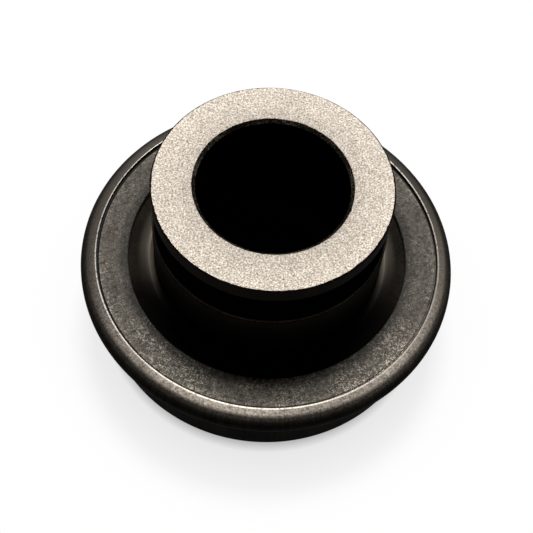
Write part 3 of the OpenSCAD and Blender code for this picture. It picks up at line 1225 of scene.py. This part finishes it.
@dataclass
class Studio:
    """The pale floor, the soft light and the camera.

    Attributes:
        focal_px: Focal length in pixels of the picture.
        distance: From the camera to the middle of the collar's top face.
        elevation: How far the camera looks down, in degrees.
        roll: How far the picture leans, in degrees.
        aim_px: Where the middle of the top face lies, right of and below the middle of the picture.
        lamp_radiance: How bright the soft lamp looks, where 1 is white.
        floor_shade: How far the floor is pale, not painted dark as shade, by millimetres from the axis.
        floor_white: How far it looks white, by millimetres from the axis.
        tent_open_y: Where the tent's opening behind starts.
        tent_open_z: How high the opening is.
    """

    focal_px: float = 1194.3
    distance: float = 267.1 * MM
    elevation: float = 55.74
    roll: float = 5.11
    aim_px: tuple[float, float] = (6.9, -82.2)
    clip_start: float = 0.01
    lamp_place: tuple[float, float, float] = (-0.008, 0.265, 0.834)
    lamp_width: float = 0.26
    lamp_length: float = 0.205
    lamp_radiance: float = 45.0
    white: str = "#ffffff"
    world_light: float = 0.04
    floor_r: float = 3.0
    floor_drop: float = 0.02 * MM
    floor_pale: str = "#f4f3f1"
    # Painted shade under the part.
    floor_painted_shade: str = "#1c1c1c"
    floor_shade: Stops = ((0, 0.0), (36, 0.0), (42, 1.0))
    floor_white: Stops = ((0, 0.0), (36, 0.0), (42, 0.8), (64, 1.0))
    felt: str = "#050505"
    tent_r: float = 1.2
    tent_open_y: float = 0.55
    tent_open_z: float = 0.6

    def build(self) -> None:
        """Sets the stage."""
        self.camera()
        self.floor()
        self.world()
        self.softbox()
        self.black_tent()
        bpy.context.scene.view_settings.view_transform = "Standard"

    def camera(self) -> None:
        """Places the camera as the photograph was taken."""
        tilt = math.radians(self.elevation)
        level = Matrix((
            (1.0, 0.0, 0.0),
            (0.0, -math.sin(tilt), -math.cos(tilt)),
            (0.0, math.cos(tilt), -math.sin(tilt)),
        ))
        rolled = Matrix.Rotation(math.radians(self.roll), 3, "Z") @ level
        sight = Vector((*self.aim_px, self.focal_px)).normalized()
        seen = Vector((0.0, 0.0, 1.0)).rotation_difference(sight).to_matrix() @ rolled
        target = Vector((0.0, 0.0, node_reach("collar")[2]))
        lens = bpy.data.cameras.new("camera")
        lens.sensor_width = SENSOR_MM
        lens.lens = self.focal_px / PICTURE_PX * SENSOR_MM
        lens.clip_start = self.clip_start
        eye = add_object("camera", lens)
        axes = Matrix((seen[0], -seen[1], -seen[2])).transposed().to_4x4()
        eye.matrix_world = Matrix.Translation(target - seen.transposed() @ (sight * self.distance)) @ axes
        bpy.context.scene.camera = eye

    @staticmethod
    def seen_directly(tree: NodeTree) -> Node:
        """Adds a value that is 1 for what the camera, metal and glass see, and 0 for light on the part.

        Args:
            tree: The tree of the floor or the world.

        Returns:
            The node with the value.
        """
        path = add_node(tree, Kind.LIGHT_PATH).outputs
        mirrored = add_node(tree, Kind.MAXIMUM, path["Is Glossy Ray"], path["Is Transmission Ray"])
        return add_node(tree, Kind.MAXIMUM, path["Is Camera Ray"], mirrored)

    def floor(self) -> None:
        """Lays the pale floor, which is painted dark as shade under the part and turns white further out."""
        shape = bmesh.new()
        bmesh.ops.create_circle(shape, cap_ends=True, radius=self.floor_r, segments=64)
        floor = self._piece("floor", shape)
        floor.location.z = CAD_BOX[0].z - self.floor_drop
        s = Surface("pale_floor")
        white = s.by_stops(s.radius, self.floor_white, MM)
        share = s.add(Kind.MULTIPLY, white, self.seen_directly(s.tree))
        glow = s.add(Kind.EMISSION, self.white, 1.0)
        both = s.add(Kind.MIX_SHADER, share, s.shader, glow)
        join(s.tree, both, find_node(s.tree, "OUTPUT_MATERIAL").inputs["Surface"])
        # Painted shade: the floor under the part is dark.
        shade = s.by_stops(s.radius, self.floor_shade, MM)
        colour = s.add(Kind.MIX_COLOUR, shade, self.floor_painted_shade, self.floor_pale)
        floor.data.materials.append(s.shade(Base_Color=colour, Roughness=0.9))

    def softbox(self) -> None:
        """Hangs the soft lamp overhead, facing the part."""
        lamp = bpy.data.lights.new("overhead_softbox", "AREA")
        lamp.shape = "RECTANGLE"
        lamp.size = self.lamp_width
        lamp.size_y = self.lamp_length
        lamp.energy = self.lamp_radiance * math.pi * self.lamp_width * self.lamp_length
        hung = add_object("overhead_softbox", lamp)
        hung.location = self.lamp_place
        aim = Vector((0.0, 0.0, node_reach("shell")[2]))
        hung.rotation_euler = (aim - Vector(self.lamp_place)).to_track_quat("-Z", "Y").to_euler()

    def black_tent(self) -> None:
        """Hangs a black tent round the part, open low behind, which only mirrors see, as in a dark studio."""
        shape = bmesh.new()
        bmesh.ops.create_uvsphere(shape, u_segments=72, v_segments=36, radius=self.tent_r)
        opening = []
        for face in shape.faces:
            middle = face.calc_center_median()
            if middle.z < 0 or (middle.y > self.tent_open_y and middle.z < self.tent_open_z):
                opening.append(face)
        bmesh.ops.delete(shape, geom=opening, context="FACES")
        tent = self._piece("black_tent", shape)
        s = Surface("black_felt")
        felt = s.shade(Base_Color=self.felt, Roughness=1.0, Specular_IOR_Level=0.0)
        tent.data.materials.append(felt)
        tent.visible_camera = False
        tent.visible_diffuse = False
        tent.visible_shadow = False

    @staticmethod
    def _piece(name: str, shape: bmesh.types.BMesh) -> Object:
        """Makes a piece of the stage.

        Args:
            name: Its name.
            shape: Its shape, which is freed.

        Returns:
            Its object.
        """
        mesh = bpy.data.meshes.new(name)
        shape.to_mesh(mesh)
        shape.free()
        return add_object(name, mesh)

    def world(self) -> None:
        """Sets a dim even light all round, which the camera and mirrors see as white."""
        world = bpy.data.worlds.new("studio")
        bpy.context.scene.world = world
        world.use_nodes = True
        tree = world.node_tree
        level = add_node(tree, Kind.MIX, self.seen_directly(tree), self.world_light, 1.0)
        sky = find_node(tree, "BACKGROUND")
        join(tree, self.white, sky.inputs["Color"])
        join(tree, level, sky.inputs["Strength"])


def mount_size(name: str, size: str) -> float:
    """Returns one of a mount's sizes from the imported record, in metres, by a name that ends in _mm."""
    return next(m["dims"][size] for m in frame["record"]["mounts"] if m["name"] == name) * MM


def main() -> None:
    """Builds the pieces in order and puts each on its body."""
    logging.basicConfig(level=logging.INFO)
    turning = TurningTree()
    collar = Collar(
        turning,
        bore_r=mount_size("guide_bore", "r_mm"),
        groove_r=mount_size("fork_groove", "r_mm"),
        groove_w=mount_size("fork_groove", "length_mm"),
    )
    for made, node, slot in (
        (collar.build(), "collar", Slot.SINTERED_IRON),
        (BackPlate(turning).build(), "back_plate", Slot.PLATE_STEEL),
        (Shell(turning).build(), "shell", Slot.SHELL_STEEL),
    ):
        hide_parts(node)
        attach(made, COLLAR_BODY)
        LOG.info("%s stands for %s with %d faces", made.name, node, len(made.data.polygons))
    BallRace(frame["nodes"]).dress()
    Studio().build()


if __name__ == "__main__":
    main()
